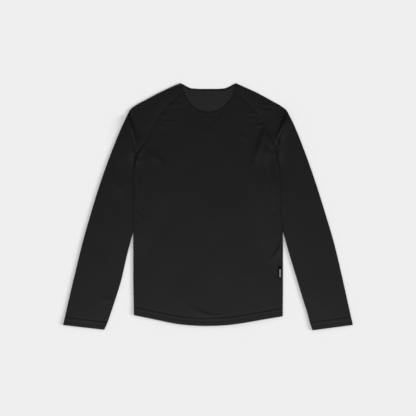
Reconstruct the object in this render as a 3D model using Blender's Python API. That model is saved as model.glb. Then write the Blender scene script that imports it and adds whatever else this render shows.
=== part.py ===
"""A base layer top: a long-sleeved raglan crew-neck jersey, laid flat with its front up.

The garment lies on the plane z = 0. +Y runs up the garment to its neck and -X is the wearer's
right. The front and back panels lie on each other, each sleeve is one flattened tube folded
over the shoulder, and the body's sides lie on the tucked inner edges of the sleeves.

Sizes are in millimetres here, and every mesh is made in metres.
"""

import math

import bmesh
import bpy
import numpy as np
from mathutils import Vector
from mathutils.bvhtree import BVHTree

MM = 0.001

# Cloth: the jersey's wall, the air between the two layers at a folded edge, and the seams' gap.
WALL = 1.1
AIR = 1.0
SEAM_GAP = 0.3
STACK = 2 * WALL + AIR
# A turned-up hem makes the wall this much thicker, over this height, with a short step.
HEM_EXTRA = 0.3
HEM_HEIGHT = 23.5
HEM_STEP = 2.5
# The body's sides lie on the sleeves with this clearance.
CLEARANCE = 0.6
LIFT = STACK + CLEARANCE
# How far from the hidden sleeve edge the body is still fully lifted, and over what run each
# layer comes down from there.
LIFT_MARGIN = 14.0
LIFT_RUN = {"front": 72.0, "back": 32.0}
# Below the armpit, the body's sides are lifted over this height.
LIFT_RISE = 20.0
# Where the sleeves come out from under the body, the body's sides come down over this height.
SLEEVE_OUT = -76.0
LIFT_FALL = 64.0

# The layers swell a little between their edges, a sleeve less so at its cuff.
BODY_PUFF = 1.0
BODY_PUFF_RUN = 90.0
SLEEVE_PUFF = 1.0
SLEEVE_PUFF_RUN = 45.0
SLEEVE_CLEAR_RUN = 15.0
CUFF_PUFF_SHARE = 0.5
CUFF_PUFF_RUN = 60.0
# How far a trough may come down into the air between the layers.
LOWEST_TOP = 0.5
# A fold ends this far along its rise and fall, and stops this far from a sleeve's outer edge.
FOLD_END = 0.08
FOLD_EDGE_RUN = 12.0

# The neckband is a folded binding of this width and thickness.
BAND_WIDTH = 7.6
BAND_THICKNESS = 1.4
BAND_PROUD = 0.2
# The front neckline sinks this much towards the back: all of it this far from the centre line,
# none of it that far, and back up over this run below the band.
NECK_SINK = 0.5
NECK_SINK_WHOLE = 20.0
NECK_SINK_NONE = 68.0
NECK_SINK_RUN = 60.0
# The band's section, in shares of its width from the opening edge and of half its thickness,
# and how many steps it is carried through along each half of the neck.
#  across, through
BAND_SECTION = (
    (0.0, 0.0),
    (0.05, 0.72),
    (0.2, 1.0),
    (0.9, 1.0),
    (1.0, 0.72),
    (1.0, -0.72),
    (0.9, -1.0),
    (0.2, -1.0),
    (0.05, -0.72),
)
BAND_STATIONS = {"front": 34, "back": 22}
# How far down the neck's edge from the shoulder each raglan seam meets it.
SEAM_DROP = {"front": 28.0, "back": 25.0}

# The woven label near the hem, at the wearer's left side seam.
LABEL_LEFT, LABEL_RIGHT = 203.0, 213.2
LABEL_BOTTOM, LABEL_TOP = -205.5, -174.3
LABEL_THICKNESS = 0.8
LABEL_COLUMNS, LABEL_ROWS = 4, 6

# Rows beside the armpit, counted down from it.
ARMPIT_ROWS = (27.0, 18.0, 9.0, 0.0)

# Grids: columns across and rows along each piece.
PANEL_COLUMNS = {"front": 40, "back": 16}
SLEEVE_COLUMNS = {"front": 16, "back": 6}
SIDE_ROWS = 14
SLEEVE_ROWS = 17
RAGLAN_ROWS = 12
# The panels' columns are closer at their sides than in between, and the rows at the armpits.
COLUMN_GRADE = 0.35
ROW_GRADE = 1.3
# A seam's edge has a second column this far in.
EDGE_COLUMN = 0.5
# A folded edge is turned through these angles, above and below its middle.
ROUND_ANGLES = (0.0, 45.0, 90.0)
# A sleeve's outer edge and the band at a shoulder are turned through these.
TURN_ANGLES = (45.0, 0.0, -45.0)
# How many points each span of a fold's line has.
FOLD_POINTS = 8
# Edges that turn more than this, in degrees, are shaded sharp.
SHARP_ANGLE = 50.0

BLACK = (0.0152, 0.0152, 0.0157)
INSIDE_BLACK = (0.0205, 0.0205, 0.021)
LABEL_BLACK = (0.012, 0.012, 0.012)
CLOTH_ROUGHNESS = 0.8
BAND_ROUGHNESS = 0.75

# Outlines, one row for each place: how far out from the centre line and how far up, on the
# wearer's right and then on the wearer's left.
#  right_out, right_up, left_out, left_up
CUFF_TO_SHOULDER = (
    (419.9, -342.9, 419.9, -342.6),
    (406.6, -283.8, 406.6, -283.8),
    (384.8, -191.0, 386.0, -191.0),
    (361.9, -98.2, 363.4, -98.2),
    (342.2, -28.6, 342.8, -28.6),
    (313.5, 64.2, 313.8, 64.2),
    (280.4, 157.0, 281.3, 157.0),
    (241.5, 249.8, 243.3, 249.8),
    (233.0, 267.6, 234.6, 267.0),
)
SHOULDER_TO_NECK = (
    (233.0, 267.6, 234.6, 267.0),
    (225.2, 281.4, 227.2, 279.6),
    (213.2, 291.1, 214.6, 289.6),
    (181.2, 308.9, 181.2, 308.9),
    (137.8, 331.8, 137.8, 332.3),
    (94.2, 352.0, 94.2, 352.1),
)
CUFF_TO_ARMPIT = (
    (300.7, -356.6, 303.1, -358.3),
    (293.8, -341.8, 297.0, -341.8),
    (281.3, -307.0, 287.7, -307.0),
    (265.9, -260.6, 272.9, -260.6),
    (251.7, -214.2, 259.0, -214.2),
    (241.0, -167.8, 244.8, -167.8),
    (230.0, -121.4, 231.1, -121.4),
    (216.6, -73.5, 217.6, -73.5),
    (193.0, -15.0, 193.0, -15.0),
    (184.0, 35.0, 183.5, 40.0),
    (186.5, 70.0, 183.0, 84.0),
    (192.0, 95.0, 187.0, 112.0),
    (200.5, 111.5, 192.5, 131.0),
    (207.4, 124.5, 197.0, 146.0),
    (210.0, 136.5, 198.9, 157.0),
    (209.2, 148.3, 198.5, 168.6),
)
HEM_TO_ARMPIT = (
    (214.6, -314.2, 216.6, -317.7),
    (216.0, -250.0, 217.2, -250.0),
    (216.6, -160.0, 217.3, -160.0),
    (216.4, -73.5, 216.3, -73.5),
    (216.0, 0.0, 210.3, 0.0),
    (215.9, 60.0, 210.3, 60.0),
    (215.8, 106.0, 207.4, 106.0),
    (211.0, 128.0, 199.0, 146.0),
    (208.8, 148.3, 198.1, 168.6),
)
FRONT_RAGLAN = (
    (208.8, 148.3, 198.1, 168.6),
    (195.4, 166.4, 187.3, 186.6),
    (184.0, 186.6, 175.5, 209.2),
    (170.6, 211.0, 162.6, 234.6),
    (154.8, 239.0, 150.4, 257.4),
    (136.8, 266.0, 132.6, 281.6),
    (116.6, 292.0, 108.6, 305.4),
)
BACK_RAGLAN = (
    (208.8, 148.3, 198.1, 168.6),
    (190.0, 180.0, 181.0, 196.0),
    (160.0, 229.0, 152.0, 240.0),
    (122.0, 281.0, 117.0, 287.0),
    (86.0, 317.0, 84.0, 320.0),
)
# The hem's line from the wearer's right to the left.
HEM = (
    (-214.6, -314.2),
    (-143.6, -328.7),
    (-91.4, -339.3),
    (-45.0, -344.2),
    (0.0, -345.5),
    (52.0, -343.4),
    (100.0, -337.4),
    (152.3, -328.4),
    (216.6, -317.7),
)
# The neck's opening edge, from the wearer's right shoulder to the left: place and the
# direction, in degrees, from this edge across the band to its seam.
#  x, y, across
NECK_FRONT = (
    (-78.2, 357.1, 203.5),
    (-73.4, 339.0, 200.5),
    (-66.5, 321.0, 206.5),
    (-56.0, 304.0, 216.0),
    (-43.5, 289.5, 230.0),
    (-24.0, 277.5, 250.0),
    (0.0, 274.0, 270.0),
    (23.5, 276.5, 283.0),
    (38.5, 282.5, 299.0),
    (50.0, 291.5, 313.0),
    (61.5, 304.5, 322.0),
    (70.5, 317.0, 332.0),
    (75.3, 332.0, 342.5),
    (79.6, 356.9, 336.5),
)
NECK_BACK = (
    (-78.2, 357.1, 203.5),
    (-70.6, 354.0, 224.0),
    (-62.4, 349.2, 241.0),
    (-50.8, 343.9, 256.0),
    (-36.2, 342.2, 267.0),
    (0.0, 341.5, 270.0),
    (36.2, 342.1, 273.0),
    (49.5, 343.5, 283.0),
    (59.4, 346.9, 298.0),
    (71.4, 353.4, 315.0),
    (79.6, 356.9, 336.5),
)
# The largest folds of the upper layer: ridges of this height and half width, through three
# places. Each shoulder has a ridge that runs in from the shoulder point, a lower one outside it
# and two swells above the armpit.
#  height, half_width, start, middle, end
SHOULDER_FOLDS = (
    (7.0, 11.0, (-236.0, 269.0), (-221.5, 225.0), (-210.5, 171.0)),
    (3.0, 10.0, (-236.0, 220.0), (-229.0, 185.0), (-224.0, 124.0)),
    (2.6, 20.0, (-206.0, 190.0), (-197.0, 190.0), (-184.0, 188.0)),
    (2.0, 24.0, (-222.0, 156.0), (-207.0, 155.0), (-192.0, 150.0)),
    (7.0, 11.0, (235.5, 273.0), (222.5, 239.0), (203.5, 193.0)),
    (3.0, 10.0, (227.5, 235.0), (216.0, 197.0), (212.0, 136.0)),
    (2.4, 20.0, (183.0, 198.0), (194.0, 200.0), (205.0, 202.0)),
    (1.8, 24.0, (187.0, 172.0), (200.0, 174.0), (213.0, 178.0)),
)
# The rest run down the chest and the sides, over the hem, in to the neck and the seams, and
# over the sleeves.
BODY_FOLDS = (
    (1.8, 11.0, (-163.0, 154.0), (-133.0, 126.0), (-121.0, 100.0)),
    (5.0, 10.0, (167.0, 230.0), (152.5, 190.0), (145.0, 134.0)),
    (3.0, 9.0, (178.0, 206.0), (172.5, 180.0), (166.0, 138.0)),
    (2.2, 9.0, (211.0, -72.0), (208.0, -118.0), (183.0, -154.0)),
    (2.4, 8.0, (192.0, 122.0), (199.0, 72.0), (199.0, 12.0)),
    (1.2, 9.0, (32.0, -314.0), (-6.0, -308.0), (-46.0, -289.0)),
    (0.9, 9.0, (45.0, 270.0), (32.0, 256.0), (18.0, 238.0)),
    (0.8, 8.0, (-102.0, 299.0), (-90.0, 298.0), (-76.0, 300.0)),
    (0.8, 8.0, (-132.0, 268.0), (-117.0, 266.0), (-100.0, 269.0)),
    (0.9, 8.0, (152.0, 262.0), (136.0, 262.0), (118.0, 270.0)),
    (1.1, 10.0, (-278.0, 98.0), (-268.0, 74.0), (-246.0, 37.0)),
    (0.8, 8.0, (-313.0, -271.0), (-295.0, -269.0), (-269.0, -270.0)),
    (0.9, 9.0, (229.0, 22.0), (226.0, 5.0), (226.0, -12.0)),
)
FOLDS = (*SHOULDER_FOLDS, *BODY_FOLDS)

RIGHT, LEFT = -1, 1


class Line:
    """A smooth line through a few rows of numbers, measured along its first two columns."""

    def __init__(self, rows, per_span=20):
        rows = np.array(rows, float)
        step = np.linalg.norm(np.diff(rows[:, :2], axis=0), axis=1)
        along = np.concatenate([[0.0], np.cumsum(step)])
        slope = np.gradient(rows, along, axis=0)
        parts = []
        for i, length in enumerate(step):
            s = np.linspace(0.0, 1.0, per_span, endpoint=False)[:, None]
            parts.append(
                (2 * s**3 - 3 * s**2 + 1) * rows[i]
                + (s**3 - 2 * s**2 + s) * length * slope[i]
                + (3 * s**2 - 2 * s**3) * rows[i + 1]
                + (s**3 - s**2) * length * slope[i + 1]
            )
        self.rows = np.concatenate([*parts, rows[-1:]])
        step = np.linalg.norm(np.diff(self.rows[:, :2], axis=0), axis=1)
        self.along = np.concatenate([[0.0], np.cumsum(step)])
        self.length = self.along[-1]

    def at(self, distance):
        """The row of numbers at this distance, or at each of these distances."""
        columns = [np.interp(distance, self.along, column) for column in self.rows.T]
        return np.stack(columns, axis=-1)

    def out_at(self, up):
        """How far out from the centre line a line that only rises is at this height."""
        return np.interp(up, self.rows[:, 1], np.abs(self.rows[:, 0]))


def side_line(table, side, last=None):
    """The line of one side's columns in an outline table, up to a last point where given."""
    first = 0 if side == RIGHT else 2
    points = [(side * row[first], row[first + 1]) for row in table]
    if last is not None:
        points.append(tuple(last))
    return Line(points)


def smoothstep(value, low, high):
    share = np.clip((np.asarray(value, float) - low) / (high - low), 0.0, 1.0)
    return share * share * (3 - 2 * share)


def unit(vector):
    return vector / np.linalg.norm(vector)


def compass(degrees):
    angle = np.radians(degrees)
    return np.stack([np.cos(angle), np.sin(angle)], axis=-1)


NECK = {"front": Line(NECK_FRONT), "back": Line(NECK_BACK)}


def neck_point(layer, distance, across):
    """A point of the neck: along its opening edge, and then across the band."""
    row = NECK[layer].at(distance)
    return row[..., :2] + across * compass(row[..., 2])


def from_shoulder(layer, side, distance):
    """A distance along the neck's edge, counted from one side's shoulder."""
    return distance if side == RIGHT else NECK[layer].length - distance


def seam_end(layer, side):
    """Where a raglan seam meets the neckband's seam."""
    return neck_point(layer, from_shoulder(layer, side, SEAM_DROP[layer]), BAND_WIDTH)


class Side:
    """The lines of one side of the garment."""

    def __init__(self, side):
        self.side = side
        shoulder = neck_point("front", from_shoulder("front", side, 0.0), BAND_WIDTH)
        across = compass(NECK_FRONT[0 if side == RIGHT else -1][2])
        self.shoulder_normal = np.array([side * abs(across[1]), abs(across[0])])
        fold = shoulder + STACK / 2 * self.shoulder_normal
        self.outer = side_line(CUFF_TO_SHOULDER, side)
        self.shoulder = side_line(SHOULDER_TO_NECK, side, fold)
        self.inner = side_line(CUFF_TO_ARMPIT, side)
        self.body = side_line(HEM_TO_ARMPIT, side)
        self.front = side_line(FRONT_RAGLAN, side, seam_end("front", side))
        self.back = side_line(BACK_RAGLAN, side, seam_end("back", side))
        self.armpit = self.front.at(0.0)

    def clear_of_body(self, x, y):
        """How far out from the body's edge, or above the armpit its front seam, places are."""
        edge = np.where(y < self.armpit[1], self.body.out_at(y), self.front.out_at(y))
        return x * self.side - edge

    def lift(self, layer, x, y):
        """How high this side's tucked sleeve carries a layer of the body.

        Away from the side, the lift also ends more softly above and below.
        """
        inside = np.maximum(self.inner.out_at(y) - LIFT_MARGIN - x * self.side, 0.0)
        above = np.maximum(y - self.armpit[1] + LIFT_RISE, 0.0) / (LIFT_RISE + inside)
        below = np.maximum(SLEEVE_OUT - y, 0.0) / (LIFT_FALL + inside)
        away = np.hypot(inside / LIFT_RUN[layer], above + below)
        return LIFT * (1 - smoothstep(away, 0.0, 1.0))


SIDES = {RIGHT: Side(RIGHT), LEFT: Side(LEFT)}


def body_lift(layer, x, y):
    return SIDES[RIGHT].lift(layer, x, y) + SIDES[LEFT].lift(layer, x, y)


def fold_height(x, y):
    """The height of the folds at these places."""
    total = np.zeros(np.shape(x))
    for height, half_width, *places in FOLDS:
        line = Line(places, FOLD_POINTS)
        away = np.hypot(
            np.subtract.outer(x, line.rows[:, 0]), np.subtract.outer(y, line.rows[:, 1])
        )
        share = line.along[away.argmin(axis=-1)] / line.length
        taper = np.sin(np.pi * (FOLD_END + (1 - 2 * FOLD_END) * share))
        total = total + height * taper * np.exp(-((away.min(axis=-1) / half_width) ** 2))
    return total


def neck_sink(x):
    """How far the front neckline sinks at this distance from the centre line."""
    return NECK_SINK * (1 - smoothstep(np.abs(x), NECK_SINK_WHOLE, NECK_SINK_NONE))


def link_quads(index):
    """The quads of a grid of vertex numbers."""
    return [
        tuple(int(i) for i in (index[r, c], index[r, c + 1], index[r + 1, c + 1], index[r + 1, c]))
        for r in range(index.shape[0] - 1)
        for c in range(index.shape[1] - 1)
    ]


def add_object(name, points, faces, colour, roughness):
    """One closed body in the garment's collection, with its own material."""
    mesh = bpy.data.meshes.new(name)
    mesh.from_pydata([tuple(point * MM) for point in points], [], faces)
    edit = bmesh.new()
    edit.from_mesh(mesh)
    loose = [vertex for vertex in edit.verts if not vertex.link_faces]
    bmesh.ops.delete(edit, geom=loose, context="VERTS")
    bmesh.ops.recalc_face_normals(edit, faces=edit.faces)
    edit.to_mesh(mesh)
    edit.free()
    mesh.shade_smooth()
    mesh.set_sharp_from_angle(angle=math.radians(SHARP_ANGLE))
    material = bpy.data.materials.new(f"{name}_cloth")
    material.use_nodes = True
    shader = material.node_tree.nodes["Principled BSDF"]
    shader.inputs["Base Color"].default_value = (*colour, 1.0)
    shader.inputs["Roughness"].default_value = roughness
    shader.inputs["Metallic"].default_value = 0.0
    mesh.materials.append(material)
    made = bpy.data.objects.new(name, mesh)
    bpy.data.collections["base_layer_top"].objects.link(made)
    return made


def add_wall(name, outer, inner, joined_rows, colour):
    """A wall of cloth between two grids of points, closed all round its rim.

    In the first joined_rows rows the last column is the first one again.
    """
    index = np.arange(outer.shape[0] * outer.shape[1]).reshape(outer.shape[:2])
    if joined_rows:
        index[:joined_rows, -1] = index[:joined_rows, 0]
    quads = link_quads(index)
    ends = {pair for quad in quads for pair in zip(quad, quad[1:] + quad[:1])}
    rim = sorted(pair for pair in ends if pair[::-1] not in ends)
    count = index.size
    faces = list(quads)
    faces += [tuple(i + count for i in reversed(quad)) for quad in quads]
    faces += [(b, a, a + count, b + count) for a, b in rim]
    points = np.concatenate([outer.reshape(-1, 3), inner.reshape(-1, 3)])
    return add_object(name, points, faces, colour, CLOTH_ROUGHNESS)


def hem_wall(distance):
    """The wall's thickness at this distance from a turned-up edge."""
    return WALL + HEM_EXTRA * (1 - smoothstep(distance, HEM_HEIGHT, HEM_HEIGHT + HEM_STEP))


def rows_from_hem(length, count):
    """Distances from a turned-up edge to the armpit: the hem's rows, even rows, the last few."""
    first = [0.0, HEM_HEIGHT / 2, HEM_HEIGHT]
    last = length - np.array(ARMPIT_ROWS)
    even = np.linspace(HEM_HEIGHT + HEM_STEP, last[0], count)[:-1]
    return np.concatenate([first, even, last])


def raglan_rows(length):
    """Distances along a raglan seam or a shoulder's fold, from the armpit's row on."""
    return length * np.linspace(0.0, 1.0, RAGLAN_ROWS + 1)[1:] ** ROW_GRADE


def rounded(angle, stack, wall):
    """A folded edge's outer and inner point: how far in from the edge, and how high."""
    radius = stack / 2
    within = radius - wall
    cos, sin = math.cos(math.radians(angle)), math.sin(math.radians(angle))
    return (
        (radius - radius * cos, radius + radius * sin),
        (radius - within * cos, radius + within * sin),
    )


def panel_plan(layer, share, rise, start, end, corners):
    """The places of one row of a panel, between its hem, its neck seam and its two sides."""
    hem = Line(HEM)
    drop = SEAM_DROP[layer]
    run = NECK[layer].length - 2 * drop
    top = neck_point(layer, drop + share * run, BAND_WIDTH + SEAM_GAP / 2)
    bottom = hem.at(share * hem.length)
    from_corners = sum(
        np.outer(across * along, corner)
        for across, along, corner in (
            (1 - share, 1 - rise, corners[0]),
            (share, 1 - rise, corners[1]),
            (1 - share, rise, corners[2]),
            (share, rise, corners[3]),
        )
    )
    between_sides = np.outer(1 - share, start) + np.outer(share, end)
    return (1 - rise) * bottom + rise * top + between_sides - from_corners, top


def panel_height(layer, plan, top, from_side, stack):
    """The height of a panel's outer face at the places of one row."""
    x, y = plan.T
    carried = body_lift(layer, x, y)
    if layer == "back":
        return carried
    from_neck = np.linalg.norm(plan - top, axis=1)
    swell = smoothstep(from_side, 0.0, BODY_PUFF_RUN) * smoothstep(from_neck, 0.0, BODY_PUFF_RUN)
    sink = neck_sink(x) * (1 - smoothstep(from_neck, 0.0, NECK_SINK_RUN))
    height = BODY_PUFF * swell + fold_height(x, y) - sink
    return np.maximum(height, -LOWEST_TOP) + stack + carried


def panel_grid(layer):
    """The front or the back panel, as grids of outer and inner points."""
    up = 1 if layer == "front" else -1
    edges = []
    for side in (RIGHT, LEFT):
        lines = SIDES[side]
        raglan = getattr(lines, layer)
        distances = rows_from_hem(lines.body.length, SIDE_ROWS)
        edges.append(
            np.concatenate([lines.body.at(distances), raglan.at(raglan_rows(raglan.length))])
        )
    side_rows = rows_from_hem(SIDES[RIGHT].body.length, SIDE_ROWS)
    corners = [edges[0][0], edges[1][0], edges[0][-1], edges[1][-1]]
    middle = (edges[0][:, 1] + edges[1][:, 1]) / 2
    rise = (middle - middle[0]) / (middle[-1] - middle[0])
    even = np.linspace(0.0, 1.0, PANEL_COLUMNS[layer] + 1)
    graded = even - COLUMN_GRADE * np.sin(2 * np.pi * even) / (2 * np.pi)
    outer = np.zeros((len(middle), len(graded) + 4, 3))
    inner = np.zeros_like(outer)
    for row, (start, end) in enumerate(zip(*edges)):
        folded = row < len(side_rows)
        wall = float(hem_wall(side_rows[row])) if folded else WALL
        stack = 2 * wall + AIR
        width = np.linalg.norm(end - start)
        near = np.array([SEAM_GAP / 2, EDGE_COLUMN]) / width
        flat = (stack / 2 + graded * (width - stack)) / width
        share = np.concatenate([near, flat, 1 - near[::-1]])
        plan, top = panel_plan(layer, share, rise[row], start, end, corners)
        from_side = np.minimum(share, 1 - share) * width
        height = panel_height(layer, plan, top, from_side, stack)
        outer[row] = np.column_stack([plan, height])
        inner[row] = np.column_stack([plan, height - up * wall])
        if not folded:
            continue
        inward = unit(end - start)
        for number, angle in enumerate(ROUND_ANGLES):
            for column, edge, way in ((number, start, inward), (-1 - number, end, -inward)):
                level = body_lift(layer, *edge)
                points = rounded(up * angle, stack, wall)
                for grid, (run, high) in zip((outer, inner), points):
                    if number == 0:
                        high = high + up * SEAM_GAP / 2
                    grid[row, column] = (*(edge + run * way), level + high)
    return outer, inner


def sleeve_height(side, closed, plan, from_seam, from_fold, from_cuff):
    """How much higher than its edges a sleeve's upper layer is at the places of one row."""
    x, y = plan.T
    swell = smoothstep(from_seam, 0.0, SLEEVE_PUFF_RUN)
    swell = swell * smoothstep(from_fold, 0.0, SLEEVE_PUFF_RUN)
    full = CUFF_PUFF_SHARE + (1 - CUFF_PUFF_SHARE) * smoothstep(from_cuff, 0.0, CUFF_PUFF_RUN)
    folds = fold_height(x, y) * smoothstep(from_fold, 0.0, FOLD_EDGE_RUN)
    height = SLEEVE_PUFF * full * swell + folds
    if closed:
        clear = SIDES[side].clear_of_body(x, y)
        height = height * smoothstep(clear, 0.0, SLEEVE_CLEAR_RUN)
    return np.maximum(height, -LOWEST_TOP)


def sleeve_layer(side, layer, start, end, wall, from_cuff, closed, at_neck):
    """One row of one layer of a sleeve, from its seam to the folded outer edge."""
    stack = 2 * wall + AIR
    radius = stack / 2
    width = np.linalg.norm(end - start)
    way = unit(end - start)
    even = np.linspace(0.0, 1.0, SLEEVE_COLUMNS[layer] + 1)
    run = np.concatenate([[SEAM_GAP / 2, EDGE_COLUMN], radius + even * (width - stack)])
    plan = start + np.outer(run, way)
    if at_neck:
        along = from_shoulder(layer, side, SEAM_DROP[layer] * (1 - run / width))
        plan = neck_point(layer, along, BAND_WIDTH + SEAM_GAP / 2)
    if layer == "front":
        height = stack + sleeve_height(side, closed, plan, run, width - run, from_cuff)
        over = np.column_stack([plan, height])
        under = np.column_stack([plan, height - wall])
    else:
        over = np.column_stack([plan, np.zeros(len(run))])
        under = np.column_stack([plan, np.full(len(run), wall)])
    if closed:
        for number, angle in enumerate(ROUND_ANGLES):
            points = rounded(angle if layer == "front" else -angle, stack, wall)
            for points_of, (inward, level) in zip((over, under), points):
                points_of[number] = (*(start + inward * way), level)
    return over, under


def sleeve_grid(side):
    """One raglan sleeve, as grids of outer and inner points from its cuff to its neck edge.

    A row runs over the upper layer from the inner seam to the folded outer edge, and back
    over the lower layer. Up to the armpit it closes on itself.
    """
    lines = SIDES[side]
    inner_rows = rows_from_hem(lines.inner.length, SLEEVE_ROWS)
    outer_rows = rows_from_hem(lines.outer.length, SLEEVE_ROWS)
    joined = len(inner_rows)
    edge = np.concatenate(
        [lines.outer.at(outer_rows), lines.shoulder.at(raglan_rows(lines.shoulder.length))]
    )
    seams = {}
    for layer in ("front", "back"):
        raglan = getattr(lines, layer)
        seams[layer] = np.concatenate(
            [lines.inner.at(inner_rows), raglan.at(raglan_rows(raglan.length))]
        )
    outer, inner = [], []
    for row in range(len(edge)):
        closed = row < joined
        at_neck = row == len(edge) - 1
        wall = float(hem_wall(inner_rows[row])) if closed else WALL
        stack = 2 * wall + AIR
        from_cuff = inner_rows[min(row, joined - 1)]
        front, back = (
            sleeve_layer(
                side, layer, seams[layer][row], edge[row], wall, from_cuff, closed, at_neck
            )
            for layer in ("front", "back")
        )
        last_place = front[0][-1, :2]
        turn = lines.shoulder_normal if at_neck else unit(edge[row] - last_place)
        fold = last_place + stack / 2 * turn
        turned = [
            [(*(fold - inward * turn), level) for inward, level in points]
            for points in (rounded(angle, stack, wall) for angle in TURN_ANGLES)
        ]
        outer.append([*front[0], *(pair[0] for pair in turned), *back[0][::-1]])
        inner.append([*front[1], *(pair[1] for pair in turned), *back[1][::-1]])
    return np.array(outer), np.array(inner), joined


def band_ring(row, place, level, thick):
    """The band's section at one place of the neck's edge, with its thickness pointing thick."""
    width = (BAND_WIDTH - SEAM_GAP / 2) * np.array([*compass(row[2]), 0.0])
    base = np.array([*place, level])
    return [base + a * width + BAND_THICKNESS / 2 * t * thick for a, t in BAND_SECTION]


def band_rings():
    """The neckband's rings: over the front, round one shoulder, along the back and round."""
    half = BAND_THICKNESS / 2
    levels = {"front": STACK + BAND_PROUD - half, "back": half}
    turn_radius = (levels["front"] - levels["back"]) / 2
    upward = np.array([0.0, 0.0, 1.0])
    rings = []
    for layer, facing, side in (("front", 1, LEFT), ("back", -1, RIGHT)):
        line = NECK[layer]
        stations = np.linspace(0.0, line.length, BAND_STATIONS[layer] + 1)[::facing]
        for row in line.at(stations):
            level = levels[layer]
            if layer == "front":
                level -= neck_sink(row[0])
            rings.append(band_ring(row, row[:2], level, facing * upward))
        normal = np.array([*SIDES[side].shoulder_normal, 0.0])
        for angle in TURN_ANGLES:
            turn = math.radians(facing * angle)
            thick = math.cos(turn) * normal + math.sin(turn) * upward
            place = row[:2] + turn_radius * math.cos(turn) * normal[:2]
            rings.append(band_ring(row, place, half + turn_radius * (1 + math.sin(turn)), thick))
    return np.array(rings)


def add_band():
    rings = band_rings()
    count, around = rings.shape[:2]
    index = np.arange(count * around).reshape(count, around)
    index = np.concatenate([index, index[:1]])
    index = np.concatenate([index, index[:, :1]], axis=1)
    points = rings.reshape(-1, 3)
    return add_object("neckband", points, link_quads(index), BLACK, BAND_ROUGHNESS)


def add_label(front):
    """The woven label, made from the front panel's own surface below it."""
    tree = BVHTree.FromPolygons(
        [vertex.co.copy() for vertex in front.data.vertices],
        [tuple(face.vertices) for face in front.data.polygons],
    )
    xs = np.linspace(LABEL_LEFT, LABEL_RIGHT, LABEL_COLUMNS)
    ys = np.linspace(LABEL_BOTTOM, LABEL_TOP, LABEL_ROWS)
    outer = np.zeros((len(ys), len(xs), 3))
    for row, y in enumerate(ys):
        for column, x in enumerate(xs):
            hit = tree.ray_cast(Vector((x * MM, y * MM, 1.0)), Vector((0.0, 0.0, -1.0)))
            outer[row, column] = (x, y, hit[0].z / MM + SEAM_GAP + LABEL_THICKNESS)
    inner = outer - (0.0, 0.0, LABEL_THICKNESS)
    return add_wall("side_label", outer, inner, 0, LABEL_BLACK)


def main():
    for old in list(bpy.data.objects):
        bpy.data.objects.remove(old, do_unlink=True)
    garment = bpy.data.collections.new("base_layer_top")
    bpy.context.scene.collection.children.link(garment)
    front = add_wall("front_panel", *panel_grid("front"), 0, BLACK)
    add_wall("back_panel", *panel_grid("back"), 0, INSIDE_BLACK)
    for side, name in ((RIGHT, "sleeve_right"), (LEFT, "sleeve_left")):
        outer, inner, joined = sleeve_grid(side)
        add_wall(name, outer, inner, joined, BLACK)
    add_band()
    add_label(front)


main()
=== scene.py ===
"""The looks of a base layer top laid flat: its knit shells, seams, stitching and label.

Sizes are in millimetres and in the frame's axes: +Y runs up the garment to its neck, -X is the
wearer's right, and the garment lies on z = 0. Meshes are made in metres.
"""

import math

import bmesh
import bpy
import numpy as np
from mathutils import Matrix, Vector
from mathutils.bvhtree import BVHTree


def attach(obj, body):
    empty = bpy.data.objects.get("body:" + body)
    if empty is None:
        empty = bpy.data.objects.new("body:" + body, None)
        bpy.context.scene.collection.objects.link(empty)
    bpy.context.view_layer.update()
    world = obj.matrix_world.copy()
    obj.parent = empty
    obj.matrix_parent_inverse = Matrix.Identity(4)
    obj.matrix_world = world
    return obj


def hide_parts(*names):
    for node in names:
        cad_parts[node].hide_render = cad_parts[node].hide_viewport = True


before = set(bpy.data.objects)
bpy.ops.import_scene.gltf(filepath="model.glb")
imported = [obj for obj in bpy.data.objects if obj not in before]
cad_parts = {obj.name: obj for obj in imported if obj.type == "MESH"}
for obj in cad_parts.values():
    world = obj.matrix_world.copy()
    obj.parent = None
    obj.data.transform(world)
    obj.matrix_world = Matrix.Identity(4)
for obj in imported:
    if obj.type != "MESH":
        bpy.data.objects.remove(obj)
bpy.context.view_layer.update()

MM = 0.001
UPWARD = np.array([0.0, 0.0, 1.0])
RIGHT, LEFT = -1, 1
SIDE_NAMES = {RIGHT: "right", LEFT: "left"}
# Which way the outer face of each layer points.
FACING = {"front": 1, "back": -1}

# Cloth: the jersey's wall and the air between the two layers at a folded edge.
WALL = 1.1
AIR = 1.0
STACK = 2 * WALL + AIR
# A turned-up hem makes the wall this much thicker, over this height, with a short step. Its grid
# has close rows to just past that.
HEM_EXTRA = 0.4
HEM_HEIGHT = 23.0
HEM_STEP = 1.8
HEM_GRID_HEIGHT = HEM_HEIGHT + 1.5 * HEM_STEP
HEM_GRID_ROWS = 22
# The body's sides lie on the sleeves with this clearance.
CLEARANCE = 0.6
LIFT = STACK + CLEARANCE
# How far from the hidden sleeve edge the body is still fully lifted, and over what run each
# layer comes down from there.
LIFT_MARGIN = 14.0
LIFT_RUN = {"front": 72.0, "back": 32.0}
# Below the armpit, the body's sides are lifted over this height.
LIFT_RISE = 20.0
# Where the sleeves come out from under the body, the body's sides come down over this height.
SLEEVE_OUT = -76.0
LIFT_FALL = 64.0

# The layers swell a little between their edges, a sleeve less so at its cuff.
BODY_PUFF = 1.0
BODY_PUFF_RUN = 90.0
SLEEVE_PUFF = 1.0
SLEEVE_PUFF_RUN = 45.0
SLEEVE_CLEAR_RUN = 15.0
CUFF_PUFF_SHARE = 0.5
CUFF_PUFF_RUN = 60.0
# How far a trough may come down into the air between the layers.
LOWEST_TOP = 0.85
# A fold ends this far along its rise and fall, and stops this far from a sleeve's outer edge.
FOLD_END = 0.08
FOLD_EDGE_RUN = 9.0

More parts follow.
